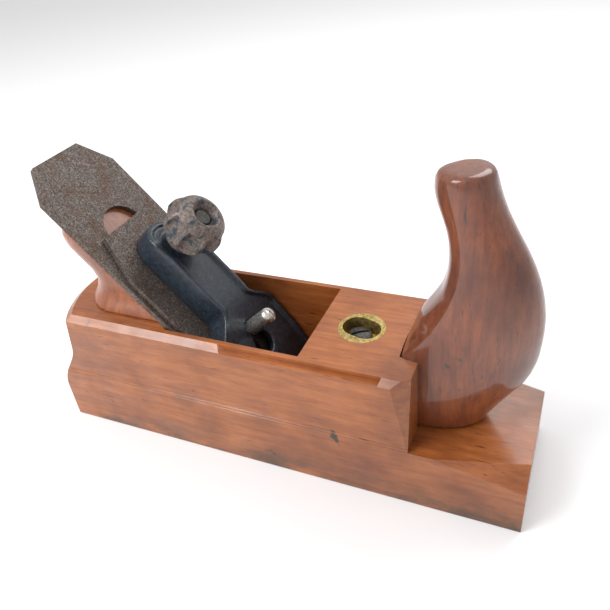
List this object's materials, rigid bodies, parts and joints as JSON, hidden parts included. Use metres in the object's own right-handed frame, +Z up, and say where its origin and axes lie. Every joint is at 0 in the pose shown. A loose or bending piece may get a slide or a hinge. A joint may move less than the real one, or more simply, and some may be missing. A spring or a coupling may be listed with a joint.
{
  "type": "wooden hand plane",
  "caption": "Wooden smoothing plane with an upright front horn, dark cast lever cap, fluted clamp knob, slotted iron, palm rest and adjustable mouth.",
  "frame": {"origin": "middle of the sole, half way between heel and toe", "axes": "+X from heel to toe, +Y across the sole to the far side of the picture, +Z up"},
  "size_m": [0.229, 0.06, 0.1392],
  "materials": {
    "body_wood": "varnished",
    "horn_wood": "varnished",
    "rest_wood": "varnished",
    "mouth_wood": "satin",
    "rusty_steel": "worn",
    "cap_paint": "gloss",
    "knob_iron": "worn",
    "bright_steel": "polished",
    "dark_steel": "worn",
    "brass": "worn"
  },
  "bodies": {
    "body": {"sole_slab": "body_wood", "upper_block": "body_wood", "horn": "horn_wood", "horn_screw": "dark_steel", "horn_screw_washer": "dark_steel", "hand_rest": "rest_wood", "hand_rest_dowels": "mouth_wood", "lever_cap_insert": "brass", "brass_bush": "brass"},
    "cap": {"lever_cap": "cap_paint"},
    "press": {"clamp_screw": "dark_steel"},
    "knob": {"clamp_knob": "knob_iron"},
    "blade": {"iron": "rusty_steel"},
    "breaker": {"chipbreaker": "rusty_steel"},
    "breaker_screw": {"chipbreaker_screw": "dark_steel"},
    "stud": {"lever_cap_screw": "bright_steel"},
    "mouth": {"mouth_piece": "mouth_wood", "mouth_nut": "brass", "mouth_washer": "dark_steel"},
    "lock": {"mouth_lock_screw": "dark_steel"}
  },
  "joints": [
    {"name": "cap_slide", "type": "slide", "parent": "body", "child": "cap", "axis": [-0.6691, 0, 0.7431], "range_m": [0, 0.0085]},
    {"name": "press_travel", "type": "slide", "parent": "cap", "child": "press", "axis": [0.7431, 0, 0.6691], "range_m": [0, 0.0037]},
    {"name": "knob_turn", "type": "hinge", "parent": "press", "child": "knob", "pos_m": [-0.05421, 0, 0.08286], "axis": [0.7431, 0, 0.6691], "range_deg": [0, 1080]},
    {"name": "iron_slide", "type": "slide", "parent": "body", "child": "blade", "axis": [-0.6691, 0, 0.7431], "range_m": [-0.0005, 0.006]},
    {"name": "breaker_slide", "type": "slide", "parent": "blade", "child": "breaker", "axis": [-0.6691, 0, 0.7431], "range_m": [-0.0003, 0.003]},
    {"name": "breaker_screw_turn", "type": "hinge", "parent": "breaker", "child": "breaker_screw", "pos_m": [-0.04517, 0, 0.07283], "axis": [0.7431, 0, 0.6691], "range_deg": [-180, 180]},
    {"name": "stud_turn", "type": "hinge", "parent": "body", "child": "stud", "pos_m": [-0.02075, 0, 0.0457], "axis": [0.7431, 0, 0.6691], "range_deg": [-180, 180]},
    {"name": "mouth_slide", "type": "slide", "parent": "body", "child": "mouth", "axis": [1, 0, 0], "range_m": [-0.0008, 0.003]},
    {"name": "lock_turn", "type": "hinge", "parent": "mouth", "child": "lock", "pos_m": [0.04, 0, 0], "axis": [0, 0, 1], "range_deg": [-180, 180]}
  ],
  "couplings": [
    {"joint": "knob_turn", "follows": "press_travel", "rad_per_m": 5026.5}
  ]
}
